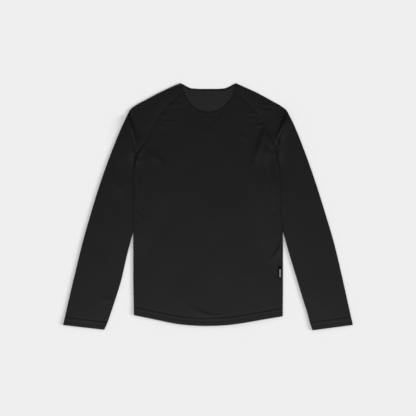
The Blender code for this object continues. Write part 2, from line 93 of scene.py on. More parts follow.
# A sewn seam draws the cloth down by this much, over this half width on either side of it,
# with small puckers that drift along it.
SEAM_DEPTH = 0.9
SEAM_BODY_WIDTH = 3.0
SEAM_SLEEVE_WIDTH = 8.0
PUCKER_HEIGHT = 0.22
PUCKER_REACH = 13.0
PUCKER_LENGTH = 15.0
PUCKER_DRIFT = 2.2
PUCKER_DRIFT_RUN = 23.0
# Two rows of stitches hold each turned-up hem: how far up they run, and each row's groove.
HEM_ROWS = (14.5, 24.2)
CUFF_ROWS = (12.8, 24.4)
ROW_DEPTH = 0.36
ROW_HALF_WIDTH = 2.8
# Their stitches, and how much of each pitch a stitch fills.
STITCH_PITCH = 3.0
STITCH_FILL = 0.8
STITCH_INSET = 3.0
THREAD_HALF_WIDTH = 0.3
THREAD_HEIGHT = 0.28
LADDER_HEIGHT = 0.14
THREAD_SUNK = 0.1
# Stitches are dropped on the cloth from this height.
RAY_HEIGHT = 1000.0
# A stitch has a tip at each end and a ring at each of these shares of its length.
STITCH_SHARES = (0.22, 0.78)
#  across, up
STITCH_RING = ((1, 0.3), (0, 1), (-1, 0.3), (0, -0.6))
# The cover threads that cross each raglan seam.
LADDER_PITCH = 1.5
LADDER_HALF_LENGTH = 1.9
LADDER_HALF_WIDTH = 0.36
LADDER_LEAN = 0.35

# The neckband is a folded binding of this width and thickness, this clear of the cloth.
BAND_WIDTH = 7.6
BAND_THICKNESS = 1.2
BAND_CLEAR = 0.04
# Its section, in shares of its width and of half its thickness, and its rings along each layer.
#  across, up
BAND_SECTION = (
    (0.0, 0.0),
    (0.02, 0.4),
    (0.06, 0.76),
    (0.14, 1.0),
    (0.5, 1.04),
    (0.78, 1.0),
    (0.84, 0.9),
    (0.9, 1.0),
    (0.97, 0.95),
    (1.0, 0.6),
    (1.0, -0.72),
    (0.9, -1.0),
    (0.2, -1.0),
    (0.05, -0.72),
)
BAND_RINGS = {"front": 150, "back": 100}
# The front neckline sinks this much towards the back: all of it this far from the centre line,
# none of it that far, and back up over this run below the band.
NECK_SINK = 0.8
NECK_SINK_WHOLE = 20.0
NECK_SINK_NONE = 68.0
NECK_SINK_RUN = 60.0
# How far down the neck's edge from the shoulder each raglan seam meets it.
SEAM_DROP = {"front": 28.0, "back": 25.0}

# The woven label near the hem, at the wearer's left side seam, and the plain bar on it.
LABEL_X = (203.0, 213.2)
LABEL_Y = (-205.5, -174.3)
LABEL_THICKNESS = 0.8
LABEL_CLEAR = 0.3
LABEL_GRID = (9, 25)
BAR_X = (206.4, 211.2)
BAR_Y = (-203.8, -180.8)
BAR_THICKNESS = 0.12
BAR_CLEAR = -BAR_THICKNESS / 4
BAR_GRID = (5, 21)
# Their rims are this share of their thickness lower.
RIM_SHARE = 0.25

# Grids: columns across and rows along each piece.
PANEL_COLUMNS = {"front": 150, "back": 60}
SLEEVE_COLUMNS = {"front": 64, "back": 24}
SIDE_ROWS = 120
SLEEVE_ROWS = 150
RAGLAN_ROWS = 110
# Rows are this close together beside the armpit, over this distance.
ARMPIT_REACH = {"panel": 27.0, "sleeve": 60.0}
ARMPIT_STEP = 1.3
# Columns are closer at the sides of a piece than in between, and rows at the armpits.
COLUMN_GRADE = 0.35
ROW_GRADE = 1.3
# A folded edge is turned through these angles, above and below its middle.
ROUND_ANGLES = (0.0, 22.5, 45.0, 67.5, 90.0)
# A sleeve's outer edge is turned through these, and the neckband at a shoulder through those.
TURN_ANGLES = (67.5, 45.0, 22.5, 0.0, -22.5, -45.0, -67.5)
BAND_TURN_ANGLES = (60.0, 30.0, 0.0, -30.0, -60.0)
# An edge of a mesh that is turned more than this stays sharp.
SHARP_ANGLE = 60.0
# Points from one place to the next of an outline, of a fold's line and of an offset line.
LINE_POINTS = 20
FOLD_POINTS = 14
OFFSET_POINTS = 2

# Outlines, one row for each place: how far out from the centre line and how far up, on the
# wearer's right and then on the wearer's left.
#  right_out, right_up, left_out, left_up
CUFF_TO_SHOULDER = (
    (419.9, -342.9, 419.9, -342.6),
    (406.6, -283.8, 406.6, -283.8),
    (384.8, -191.0, 386.0, -191.0),
    (361.9, -98.2, 363.4, -98.2),
    (342.2, -28.6, 342.8, -28.6),
    (313.5, 64.2, 313.8, 64.2),
    (280.4, 157.0, 281.3, 157.0),
    (241.5, 249.8, 243.3, 249.8),
    (233.0, 267.6, 234.6, 267.0),
)
SHOULDER_TO_NECK = (
    (233.0, 267.6, 234.6, 267.0),
    (225.2, 281.4, 227.2, 279.6),
    (213.2, 291.1, 214.6, 289.6),
    (181.2, 308.9, 181.2, 308.9),
    (137.8, 331.8, 137.8, 332.3),
    (94.2, 352.0, 94.2, 352.1),
)
CUFF_TO_ARMPIT = (
    (300.7, -356.6, 303.1, -358.3),
    (293.8, -341.8, 297.0, -341.8),
    (281.3, -307.0, 287.7, -307.0),
    (265.9, -260.6, 272.9, -260.6),
    (251.7, -214.2, 259.0, -214.2),
    (241.0, -167.8, 244.8, -167.8),
    (230.0, -121.4, 231.1, -121.4),
    (216.6, -73.5, 217.6, -73.5),
    (193.0, -15.0, 193.0, -15.0),
    (184.0, 35.0, 183.5, 40.0),
    (186.5, 70.0, 183.0, 84.0),
    (192.0, 95.0, 187.0, 112.0),
    (200.5, 111.5, 192.5, 131.0),
    (207.4, 124.5, 197.0, 146.0),
    (209.3, 136.5, 198.2, 157.0),
    (208.6, 148.3, 197.9, 168.6),
)
HEM_TO_ARMPIT = (
    (214.6, -314.2, 216.6, -317.7),
    (216.0, -250.0, 217.2, -250.0),
    (216.6, -160.0, 217.3, -160.0),
    (216.4, -73.5, 216.3, -73.5),
    (216.0, 0.0, 210.3, 0.0),
    (215.9, 60.0, 210.3, 60.0),
    (215.8, 106.0, 207.4, 106.0),
    (211.0, 128.0, 199.0, 146.0),
    (208.8, 148.3, 198.1, 168.6),
)
FRONT_RAGLAN = (
    (208.8, 148.3, 198.1, 168.6),
    (195.4, 166.4, 187.3, 186.6),
    (184.0, 186.6, 175.5, 209.2),
    (170.6, 211.0, 162.6, 234.6),
    (154.8, 239.0, 150.4, 257.4),
    (136.8, 266.0, 132.6, 281.6),
    (116.6, 292.0, 108.6, 305.4),
)
BACK_RAGLAN = (
    (208.8, 148.3, 198.1, 168.6),
    (190.0, 180.0, 181.0, 196.0),
    (160.0, 229.0, 152.0, 240.0),
    (122.0, 281.0, 117.0, 287.0),
    (86.0, 317.0, 84.0, 320.0),
)
# The hem's line from the wearer's right to the left.
HEM = (
    (-214.6, -314.2),
    (-143.6, -328.7),
    (-91.4, -339.3),
    (-45.0, -344.2),
    (0.0, -345.5),
    (52.0, -343.4),
    (100.0, -337.4),
    (152.3, -328.4),
    (216.6, -317.7),
)
# The neck's opening edge, from the wearer's right shoulder to the left: place and the
# direction, in degrees, from this edge across the band to its seam.
#  x, y, across
NECK_FRONT = (
    (-78.2, 357.1, 203.5),
    (-73.4, 339.0, 200.5),
    (-66.5, 321.0, 206.5),
    (-56.0, 304.0, 216.0),
    (-43.5, 289.5, 230.0),
    (-24.0, 277.5, 250.0),
    (0.0, 274.0, 270.0),
    (23.5, 276.5, 283.0),
    (38.5, 282.5, 299.0),
    (50.0, 291.5, 313.0),
    (61.5, 304.5, 322.0),
    (70.5, 317.0, 332.0),
    (75.3, 332.0, 342.5),
    (79.6, 356.9, 336.5),
)
NECK_BACK = (
    (-78.2, 357.1, 203.5),
    (-70.6, 354.0, 224.0),
    (-62.4, 349.2, 241.0),
    (-50.8, 343.9, 256.0),
    (-36.2, 342.2, 267.0),
    (0.0, 341.5, 270.0),
    (36.2, 342.1, 273.0),
    (49.5, 343.5, 283.0),
    (59.4, 346.9, 298.0),
    (71.4, 353.4, 315.0),
    (79.6, 356.9, 336.5),
)
# The folds of the upper layer: a ridge (or, below zero, a trough) of this height, with its half
# widths to the left and right of its way, through three places.
#  height, left_width, right_width, start, middle, end
SHOULDER_FOLDS = (
    (9.0, 4.6, 12.0, (-233.0, 268.0), (-219.0, 226.0), (-208.3, 174.0)),
    (-2.8, 12.0, 3.6, (-227.0, 270.0), (-212.8, 228.0), (-202.5, 184.0)),
    (3.0, 14.0, 30.0, (-209.0, 190.0), (-199.0, 190.0), (-183.0, 188.0)),
    (3.8, 26.0, 24.0, (-224.0, 152.0), (-207.0, 150.0), (-186.0, 143.0)),
    (6.4, 5.0, 17.0, (-230.0, 224.0), (-220.5, 184.0), (-214.5, 130.0)),
    (-3.4, 3.6, 3.6, (-222.0, 214.0), (-215.0, 182.0), (-210.0, 146.0)),
    (2.0, 24.0, 2.8, (-184.0, 180.0), (-192.0, 167.0), (-208.0, 142.0)),
    (11.0, 17.0, 5.6, (232.5, 274.0), (219.5, 240.0), (200.5, 196.0)),
    (2.8, 14.0, 28.0, (182.0, 198.0), (194.0, 200.0), (206.0, 202.0)),
    (3.6, 26.0, 24.0, (180.0, 162.0), (198.0, 169.0), (214.0, 172.0)),
    (3.6, 14.0, 3.2, (223.0, 236.0), (211.0, 198.0), (207.0, 136.0)),
    (-3.4, 3.6, 3.6, (218.5, 230.0), (205.5, 199.0), (197.0, 162.0)),
    (1.8, 2.8, 24.0, (173.0, 222.0), (184.0, 191.0), (196.0, 160.0)),
)
BODY_FOLDS = (
    (2.0, 9.0, 12.0, (-163.0, 154.0), (-133.0, 126.0), (-121.0, 100.0)),
    (6.8, 15.0, 8.4, (168.0, 234.0), (153.0, 188.0), (135.0, 128.0)),
    (4.2, 12.0, 7.0, (178.0, 212.0), (172.0, 178.0), (164.0, 130.0)),
    (1.0, 5.0, 6.0, (47.0, 268.0), (34.0, 252.0), (20.0, 234.0)),
    (1.0, 6.0, 6.0, (-12.0, 260.0), (-3.0, 256.0), (6.0, 250.0)),
    (0.8, 4.0, 7.0, (86.0, 224.0), (98.0, 205.0), (118.0, 197.0)),
    (3.0, 14.0, 3.6, (213.0, -70.0), (208.0, -116.0), (181.0, -154.0)),
    (-0.9, 12.0, 12.0, (199.0, -50.0), (198.0, -90.0), (196.0, -132.0)),
    (4.8, 13.0, 4.2, (179.0, 128.0), (185.5, 76.0), (187.5, 0.0)),
    (1.6, 8.0, 3.2, (-194.0, 76.0), (-196.0, 47.0), (-197.0, 18.0)),
    (1.1, 4.5, 6.0, (-209.0, -12.0), (-199.0, -24.0), (-187.0, -40.0)),
    (1.5, 12.0, 3.4, (32.0, -316.0), (-6.0, -310.0), (-46.0, -291.0)),
)
SLEEVE_FOLDS = (
    (1.4, 5.0, 11.0, (-275.0, 100.0), (-266.0, 76.0), (-243.0, 38.0)),
    (0.8, 4.0, 6.0, (-313.0, -272.0), (-295.0, -270.0), (-269.0, -271.0)),
    (1.0, 5.0, 5.0, (227.0, 20.0), (225.0, 6.0), (224.0, -10.0)),
    (0.8, 4.0, 4.0, (228.0, -20.0), (226.0, -40.0), (226.0, -62.0)),
    (0.9, 6.0, 6.0, (142.0, 281.0), (166.0, 278.0), (196.0, 273.0)),
    (0.7, 5.0, 5.0, (150.0, 296.0), (170.0, 293.0), (190.0, 290.0)),
)
SEAM_FOLDS = (
    (1.1, 4.5, 6.0, (-122.0, 297.0), (-98.0, 295.0), (-72.0, 297.0)),
    (1.1, 4.5, 6.0, (-139.0, 266.0), (-126.0, 264.5), (-112.0, 266.0)),
    (0.9, 4.0, 6.0, (-138.0, 247.0), (-115.0, 245.0), (-92.0, 247.0)),
    (0.9, 4.0, 5.0, (-141.0, 233.0), (-129.0, 231.5), (-116.0, 233.0)),
    (1.2, 4.0, 5.0, (113.0, 269.0), (126.0, 269.5), (141.0, 271.0)),
    (0.9, 4.0, 5.0, (111.0, 254.0), (124.0, 254.0), (137.0, 256.0)),
    (1.3, 4.0, 5.0, (137.0, 235.0), (149.0, 235.0), (160.0, 237.0)),
    (0.7, 4.0, 4.0, (139.0, 222.0), (148.0, 222.5), (157.0, 224.0)),
)
FOLDS = (*SHOULDER_FOLDS, *BODY_FOLDS, *SLEEVE_FOLDS, *SEAM_FOLDS)
# Slow swells of cloth that lies loosely: how long each wave is, which way it runs, where it
# starts, and its height.
#  length, degrees, phase, height
WAVES = (
    (171.0, 12.0, 0.3, 0.20),
    (133.0, 71.0, 1.9, 0.15),
    (118.0, 128.0, 4.1, 0.14),
    (83.0, 158.0, 2.7, 0.09),
    (61.0, 38.0, 5.2, 0.05),
    (43.0, 99.0, 0.9, 0.03),
    (37.0, 4.0, 3.3, 0.03),
)

# Looks
KNIT_BLACK = (0.0045, 0.0045, 0.0046)
INSIDE_BLACK = (0.0080, 0.0080, 0.0082)
THREAD_BLACK = (0.004, 0.004, 0.004)
LABEL_BLACK = (0.001, 0.001, 0.001)
LABEL_PALE = (0.080, 0.079, 0.077)
FLOOR_PALE = (0.80, 0.80, 0.80)
#  roughness, specular, sheen, wale, course, relief
OUTSIDE_FINISH = (0.60, 0.05, 0.01, 0.95, 0.75, 0.12)
INSIDE_FINISH = (0.7, 0.05, 0.02, 0.95, 0.6, 0.12)
#  roughness, specular
THREAD_FINISH = (0.55, 0.12)
WOVEN_FINISH = (0.7, 0.0)
FLOOR_FINISH = (0.9, 0.1)
# How a colour varies a little over a surface.
#  scale, amount
KNIT_MOTTLE = (9.0, 0.06)
THREAD_MOTTLE = (300.0, 0.15)
WOVEN_MOTTLE = (400.0, 0.06)
FLOOR_MOTTLE = (2.0, 0.002)
MOTTLE_DETAIL = 3.0
MOTTLE_RANGE = (0.3, 0.7)
# A knit stitch: how far its legs slant, how much of its relief changes along them, and how
# strongly it is raised.
KNIT_SLANT = 1.3
COURSE_SHARE = 0.3
KNIT_BUMP = 0.6
# The label's threads: how far apart, how deep, and how strongly they are raised.
WOVEN_PITCH = 0.5
WOVEN_RELIEF = 0.08
WOVEN_BUMP = 0.5
FLOOR_LEVEL = -0.2
FLOOR_HALF = 4.0

# The view: a square frame 416 pixels wide, from straight above.
PIXEL_SIZE = 2.9
FRAME_PIXELS = 416
VIEW_CENTRE = (0.0, -3.9)
CAMERA_HEIGHT = 3000.0
SENSOR_WIDTH = 36.0

# The light: an even dome, a low soft sun from the right, and a softbox past the hem that
# lights the garment alone.
DOME_STRENGTH = 0.776
SUN_STRENGTH = 3.25
SUN_ELEVATION = 17.0
SUN_AZIMUTH = -4.0
SUN_WIDTH = 16.0
SOFTBOX_PLACE = (0.10, -2.15, 1.00)
SOFTBOX_SIZE = (1.2, 1.4)
SOFTBOX_POWER = 196.0


def measured(points):
    """The steps from point to point of a line, and how far along it each point is."""
    step = np.linalg.norm(np.diff(points, axis=0), axis=1)
    return step, np.concatenate([[0.0], np.cumsum(step)])


class Line:
    """A smooth line through a few rows of numbers, measured along its first two columns."""

    def __init__(self, rows, per_span=LINE_POINTS):
        rows = np.array(rows, float)
        step, along = measured(rows[:, :2])
        slope = np.gradient(rows, along, axis=0)
        parts = []
        for i, length in enumerate(step):
            s = np.linspace(0.0, 1.0, per_span, endpoint=False)[:, None]
            parts.append(
                (2 * s**3 - 3 * s**2 + 1) * rows[i]
                + (s**3 - 2 * s**2 + s) * length * slope[i]
                + (3 * s**2 - 2 * s**3) * rows[i + 1]
                + (s**3 - s**2) * length * slope[i + 1]
            )
        self.rows = np.concatenate([*parts, rows[-1:]])
        _, self.along = measured(self.rows[:, :2])
        self.length = self.along[-1]
        ways = np.gradient(self.rows[:, :2], axis=0)
        self.ways = ways / np.linalg.norm(ways, axis=1)[:, None]

    def at(self, distance):
        """The row of numbers at this distance, or at each of these distances."""
        columns = [np.interp(distance, self.along, column) for column in self.rows.T]
        return np.stack(columns, axis=-1)

    def way_at(self, distance):
        """The direction of the line at this distance."""
        return unit(np.array([np.interp(distance, self.along, column) for column in self.ways.T]))

    def out_at(self, up):
        """How far out from the centre line a line that only rises is at this height."""
        return np.interp(up, self.rows[:, 1], np.abs(self.rows[:, 0]))

    def nearest(self, x, y):
        """How far places are to the line's left, along it, and beyond its ends."""
        gap = np.stack([x, y], axis=-1)[..., None, :] - self.rows[:, :2]
        number = (gap**2).sum(axis=-1).argmin(axis=-1)
        near = np.take_along_axis(gap, number[..., None, None], -2)[..., 0, :]
        way = self.ways[number]
        along = self.along[number] + (near * way).sum(axis=-1)
        beyond = along - np.clip(along, 0.0, self.length)
        left = way[..., 0] * near[..., 1] - way[..., 1] * near[..., 0]
        return left, along - beyond, beyond

    def offset(self, distance):
        """The line at a constant distance to the left of this one."""
        left = np.column_stack([-self.ways[:, 1], self.ways[:, 0]])
        return Line(self.rows[:, :2] + distance * left, OFFSET_POINTS)


def side_line(table, side, last=None):
    """The line of one side's columns in an outline table, up to a last point where given."""
    first = 0 if side == RIGHT else 2
    points = [(side * row[first], row[first + 1]) for row in table]
    if last is not None:
        points.append(tuple(last))
    return Line(points)


def smoothstep(value, low, high):
    share = np.clip((np.asarray(value, float) - low) / (high - low), 0.0, 1.0)
    return share * share * (3 - 2 * share)


def unit(vector):
    return vector / np.linalg.norm(vector)


def compass(degrees):
    angle = np.radians(degrees)
    return np.stack([np.cos(angle), np.sin(angle)], axis=-1)


NECK = {"front": Line(NECK_FRONT), "back": Line(NECK_BACK)}


def neck_point(layer, distance, across):
    """A point of the neck: along its opening edge, and then across the band."""
    row = NECK[layer].at(distance)
    return row[..., :2] + across * compass(row[..., 2])


def from_shoulder(layer, side, distance):
    """A distance along the neck's edge, counted from one side's shoulder."""
    return distance if side == RIGHT else NECK[layer].length - distance


def seam_end(layer, side):
    """Where a raglan seam meets the neckband's seam."""
    return neck_point(layer, from_shoulder(layer, side, SEAM_DROP[layer]), BAND_WIDTH)


class Side:
    """The lines of one side of the garment."""

    def __init__(self, side):
        self.side = side
        shoulder = neck_point("front", from_shoulder("front", side, 0.0), BAND_WIDTH)
        across = compass(NECK_FRONT[0 if side == RIGHT else -1][2])
        self.shoulder_normal = np.array([side * abs(across[1]), abs(across[0])])
        fold = shoulder + STACK / 2 * self.shoulder_normal
        self.outer = side_line(CUFF_TO_SHOULDER, side)
        self.shoulder = side_line(SHOULDER_TO_NECK, side, fold)
        self.inner = side_line(CUFF_TO_ARMPIT, side)
        self.body = side_line(HEM_TO_ARMPIT, side)
        self.front = side_line(FRONT_RAGLAN, side, seam_end("front", side))
        self.back = side_line(BACK_RAGLAN, side, seam_end("back", side))
        self.armpit = self.front.at(0.0)

    def clear_of_body(self, x, y):
        """How far out from the body's edge, or above the armpit its front seam, places are."""
        edge = np.where(y < self.armpit[1], self.body.out_at(y), self.front.out_at(y))
        return x * self.side - edge

    def seam(self, layer):
        """The raglan seam of one layer, from the armpit to the neck."""
        return self.front if layer == "front" else self.back

    def lift(self, layer, x, y):
        """How high this side's tucked sleeve carries a layer of the body.

        Away from the side, the lift also ends more softly above and below.
        """
        inside = np.maximum(self.inner.out_at(y) - LIFT_MARGIN - x * self.side, 0.0)
        above = np.maximum(y - self.armpit[1] + LIFT_RISE, 0.0) / (LIFT_RISE + inside)
        below = np.maximum(SLEEVE_OUT - y, 0.0) / (LIFT_FALL + inside)
        away = np.hypot(inside / LIFT_RUN[layer], above + below)
        return LIFT * (1 - smoothstep(away, 0.0, 1.0))


SIDES = {RIGHT: Side(RIGHT), LEFT: Side(LEFT)}


def body_lift(layer, x, y):
    return SIDES[RIGHT].lift(layer, x, y) + SIDES[LEFT].lift(layer, x, y)


FOLD_LINES = [(*row[:3], Line(row[3:], FOLD_POINTS)) for row in FOLDS]


def fold_height(x, y):
    """The height of the folds at these places."""
    total = np.zeros(np.shape(x))
    for height, left_width, right_width, line in FOLD_LINES:
        left, along, beyond = line.nearest(x, y)
        width = np.where(left > 0, left_width, right_width)
        end_width = (left_width + right_width) / 2
        taper = np.sin(np.pi * (FOLD_END + (1 - 2 * FOLD_END) * along / line.length))
        total = total + height * taper * np.exp(-((left / width) ** 2) - (beyond / end_width) ** 2)
    return total


def swell_height(x, y):
    """The slow swells of cloth that lies loosely."""
    total = np.zeros(np.shape(x))
    for length, degrees, phase, height in WAVES:
        way = compass(degrees)
        run = x * way[0] + y * way[1]
        total = total + height * np.sin(2 * np.pi * run / length + phase)
    return total


def seam_height(x, y):
    """How the front's raglan seams draw the cloth down and pucker it."""
    total = np.zeros(np.shape(x))
    for side in SIDES:
        left, along, beyond = SIDES[side].front.nearest(x, y)
        on_sleeve = (left > 0) == (side == RIGHT)
        width = np.where(on_sleeve, SEAM_SLEEVE_WIDTH, SEAM_BODY_WIDTH)
        away = np.hypot(left, beyond)
        groove = SEAM_DEPTH * np.exp(-((away / width) ** 2))
        drift = PUCKER_DRIFT * np.sin(along / PUCKER_DRIFT_RUN)
        wave = np.sin(2 * np.pi * along / PUCKER_LENGTH + drift)
        puckers = PUCKER_HEIGHT * wave * np.exp(-((away / PUCKER_REACH) ** 2))
        total = total - groove + puckers
    return total


def neck_sink(x):
    """How far the front neckline sinks at this distance from the centre line."""
    return NECK_SINK * (1 - smoothstep(np.abs(x), NECK_SINK_WHOLE, NECK_SINK_NONE))


def row_groove(distance, rows):
    """How far two rows of stitches draw the cloth down at this distance from its hem."""
    return sum(ROW_DEPTH * np.exp(-(((distance - row) / ROW_HALF_WIDTH) ** 2)) for row in rows)


def hem_wall(distance):
    """The wall's thickness at this distance from a turned-up edge."""
    return WALL + HEM_EXTRA * (1 - smoothstep(distance, HEM_HEIGHT, HEM_HEIGHT + HEM_STEP))


def rows_from_hem(length, count, reach):
    """Distances from a turned-up edge to the armpit: the hem's rows, even rows, close rows."""
    first = np.linspace(0.0, HEM_GRID_HEIGHT, HEM_GRID_ROWS)
    even = np.linspace(first[-1], length - reach, count)[1:]
    last = np.linspace(length - reach, length, int(reach / ARMPIT_STEP))[1:]
    return np.concatenate([first, even, last])


def raglan_rows(length):
    """Distances along a raglan seam or a shoulder's fold, from the armpit's row on."""
    return length * np.linspace(0.0, 1.0, RAGLAN_ROWS + 1)[1:] ** ROW_GRADE


def edge_points(line, distances, seam):
    """The edge of a piece: along a line at these distances, and then along a seam's rows."""
    return np.concatenate([line.at(distances), seam.at(raglan_rows(seam.length))])


def graded(columns):
    """Shares of a width, closer together at both ends."""
    even = np.linspace(0.0, 1.0, columns + 1)
    return even - COLUMN_GRADE * np.sin(2 * np.pi * even) / (2 * np.pi)


def rounded(angle, stack, wall):
    """A folded edge's outer and inner point: how far in from the edge, and how high."""
    middle = stack / 2
    cos, sin = compass(angle)
    return [(middle - radius * cos, middle + radius * sin) for radius in (middle, middle - wall)]


def edge_columns(stack):
    """How far in the columns beside an edge are, up to the end of its rounding."""
    return np.linspace(0.0, stack / 2, len(ROUND_ANGLES))[:-1]


def panel_plan(layer, share, rise, start, end, corners):
    """The places of one row of a panel, between its hem, its neck seam and its two sides."""
    hem = Line(HEM)
    drop = SEAM_DROP[layer]
    run = NECK[layer].length - 2 * drop
    top = neck_point(layer, drop + share * run, BAND_WIDTH)
    bottom = hem.at(share * hem.length)
    parts = [across * along for along in (1 - rise, rise) for across in (1 - share, share)]
    from_corners = sum(np.outer(part, corner) for part, corner in zip(parts, corners))
    between_sides = np.outer(1 - share, start) + np.outer(share, end)
    return (1 - rise) * bottom + rise * top + between_sides - from_corners, top


def panel_height(layer, plan, top, from_side, from_hem, stack):
    """The height of a panel's outer face at the places of one row."""
    x, y = plan.T
    carried = body_lift(layer, x, y)
    if layer == "back":
        return carried
    from_neck = np.linalg.norm(plan - top, axis=1)
    swell = smoothstep(from_side, 0.0, BODY_PUFF_RUN) * smoothstep(from_neck, 0.0, BODY_PUFF_RUN)
    height = (BODY_PUFF + swell_height(x, y)) * swell + fold_height(x, y) + seam_height(x, y)
    height = height - neck_sink(x) * (1 - smoothstep(from_neck, 0.0, NECK_SINK_RUN))
    height = np.maximum(height, -LOWEST_TOP) - row_groove(from_hem, HEM_ROWS)
    return height + stack + carried


def panel_grid(layer):
    """The front or the back panel: grids of outer points, inner points and cloth places."""
    facing = FACING[layer]
    edges = []
    for lines in SIDES.values():
        side_rows = rows_from_hem(lines.body.length, SIDE_ROWS, ARMPIT_REACH["panel"])
        edges.append(edge_points(lines.body, side_rows, lines.seam(layer)))
    corners = [edges[0][0], edges[1][0], edges[0][-1], edges[1][-1]]
    middle = (edges[0][:, 1] + edges[1][:, 1]) / 2
    rise = (middle - middle[0]) / (middle[-1] - middle[0])
    across = graded(PANEL_COLUMNS[layer])
    outer = np.zeros((len(middle), len(across) + 2 * len(ROUND_ANGLES) - 2, 3))
    inner = np.zeros_like(outer)
    for row, (start, end) in enumerate(zip(*edges)):
        folded = row < len(side_rows)
        wall = float(hem_wall(side_rows[row])) if folded else WALL
        stack = 2 * wall + AIR
        width = np.linalg.norm(end - start)
        near = edge_columns(stack) / width
        flat = (stack / 2 + across * (width - stack)) / width
        share = np.concatenate([near, flat, 1 - near[::-1]])
        plan, top = panel_plan(layer, share, rise[row], start, end, corners)
        from_side = np.minimum(share, 1 - share) * width
        from_hem = side_rows[row] if folded else side_rows[-1]
        height = panel_height(layer, plan, top, from_side, from_hem, stack)
        outer[row] = np.column_stack([plan, height])
        inner[row] = np.column_stack([plan, height - facing * wall])
        if not folded:
            continue
        inward = unit(end - start)
        for number, angle in enumerate(ROUND_ANGLES):
            for column, edge, way in ((number, start, inward), (-1 - number, end, -inward)):
                level = body_lift(layer, *edge)
                points = rounded(facing * angle, stack, wall)
                for grid, (run, high) in zip((outer, inner), points):
                    grid[row, column] = (*(edge + run * way), level + high)
    return outer, inner, outer[:, :, :2].copy()


def sleeve_height(side, closed, plan, from_seam, from_fold, from_cuff):
    """How much higher than its edges a sleeve's upper layer is at the places of one row."""
    x, y = plan.T
    swell = smoothstep(from_seam, 0.0, SLEEVE_PUFF_RUN)
    swell = swell * smoothstep(from_fold, 0.0, SLEEVE_PUFF_RUN)
    full = CUFF_PUFF_SHARE + (1 - CUFF_PUFF_SHARE) * smoothstep(from_cuff, 0.0, CUFF_PUFF_RUN)
    folds = fold_height(x, y) * smoothstep(from_fold, 0.0, FOLD_EDGE_RUN)
    height = (SLEEVE_PUFF * full + swell_height(x, y)) * swell + folds + seam_height(x, y)
    if closed:
        clear = SIDES[side].clear_of_body(x, y)
        height = height * smoothstep(clear, 0.0, SLEEVE_CLEAR_RUN)
    return np.maximum(height, -LOWEST_TOP) - row_groove(from_cuff, CUFF_ROWS)


def sleeve_layer(side, layer, start, end, wall, from_cuff, closed, at_neck):
    """One row of one layer of a sleeve, from its seam to the folded outer edge."""
    facing = FACING[layer]
    stack = 2 * wall + AIR
    width = np.linalg.norm(end - start)
    way = unit(end - start)
    across = graded(SLEEVE_COLUMNS[layer])
    run = np.concatenate([edge_columns(stack), stack / 2 + across * (width - stack)])
    plan = start + np.outer(run, way)
    if at_neck:
        along = from_shoulder(layer, side, SEAM_DROP[layer] * (1 - run / width))
        plan = neck_point(layer, along, BAND_WIDTH)
    height = np.zeros(len(run))
    if layer == "front":
        height = stack + sleeve_height(side, closed, plan, run, width - run, from_cuff)
    outer = np.column_stack([plan, height])
    inner = np.column_stack([plan, height - facing * wall])
    if closed:
        for number, angle in enumerate(ROUND_ANGLES):
            points = rounded(facing * angle, stack, wall)
            for row, (inward, level) in zip((outer, inner), points):
                row[number] = (*(start + inward * way), level)
    return outer, inner


def sleeve_grid(side):
    """One raglan sleeve: grids of outer points, inner points and cloth places, cuff to neck.

    A row runs over the upper layer from the inner seam to the folded outer edge, and back
    over the lower layer. Up to the armpit it closes on itself.
    """
    lines = SIDES[side]
    inner_rows = rows_from_hem(lines.inner.length, SLEEVE_ROWS, ARMPIT_REACH["sleeve"])
    outer_rows = rows_from_hem(lines.outer.length, SLEEVE_ROWS, ARMPIT_REACH["sleeve"])
    joined = len(inner_rows)
    edge = edge_points(lines.outer, outer_rows, lines.shoulder)
    seams = {layer: edge_points(lines.inner, inner_rows, lines.seam(layer)) for layer in FACING}
    outer, inner = [], []
    for row in range(len(edge)):
        closed = row < joined
        at_neck = row == len(edge) - 1
        wall = float(hem_wall(inner_rows[row])) if closed else WALL
        stack = 2 * wall + AIR
        from_cuff = inner_rows[min(row, joined - 1)]
        front, back = (
            sleeve_layer(
                side, layer, seams[layer][row], edge[row], wall, from_cuff, closed, at_neck
            )
            for layer in FACING
        )
        last_place = front[0][-1, :2]
        turn = lines.shoulder_normal if at_neck else unit(edge[row] - last_place)
        fold = last_place + stack / 2 * turn
        turned = [
            [(*(fold - inward * turn), level) for inward, level in points]
            for points in (rounded(angle, stack, wall) for angle in TURN_ANGLES)
        ]
        outer.append([*front[0], *(pair[0] for pair in turned), *back[0][::-1]])
        inner.append([*front[1], *(pair[1] for pair in turned), *back[1][::-1]])
    outer = np.array(outer)
    step = np.linalg.norm(np.diff(outer, axis=1), axis=2)
    across = np.concatenate([np.zeros((len(edge), 1)), np.cumsum(step, axis=1)], axis=1)
    fold_column = len(front[0]) + len(TURN_ANGLES) // 2
    across = across - across[:, fold_column : fold_column + 1]
    along = np.concatenate([outer_rows, outer_rows[-1] + raglan_rows(lines.shoulder.length)])
    places = np.stack([across, np.broadcast_to(along[:, None], across.shape)], axis=-1)
    return outer, np.array(inner), places, joined


# Building meshes


def link_quads(index):
    """The quads of a grid of vertex numbers."""
    rows = index.tolist()
    return [
        (low[c], low[c + 1], high[c + 1], high[c])
        for low, high in zip(rows, rows[1:])
        for c in range(len(low) - 1)
    ]


def add_piece(name, points, faces, materials):
    """A mesh object that rides on the garment and takes the given materials."""
    mesh = bpy.data.meshes.new(name)
    mesh.from_pydata((np.asarray(points) * MM).tolist(), [], faces)
    for material in materials:
        mesh.materials.append(material)
    made = bpy.data.objects.new(name, mesh)
    bpy.context.scene.collection.objects.link(made)
    mesh.shade_smooth()
    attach(made, "root")
    return made


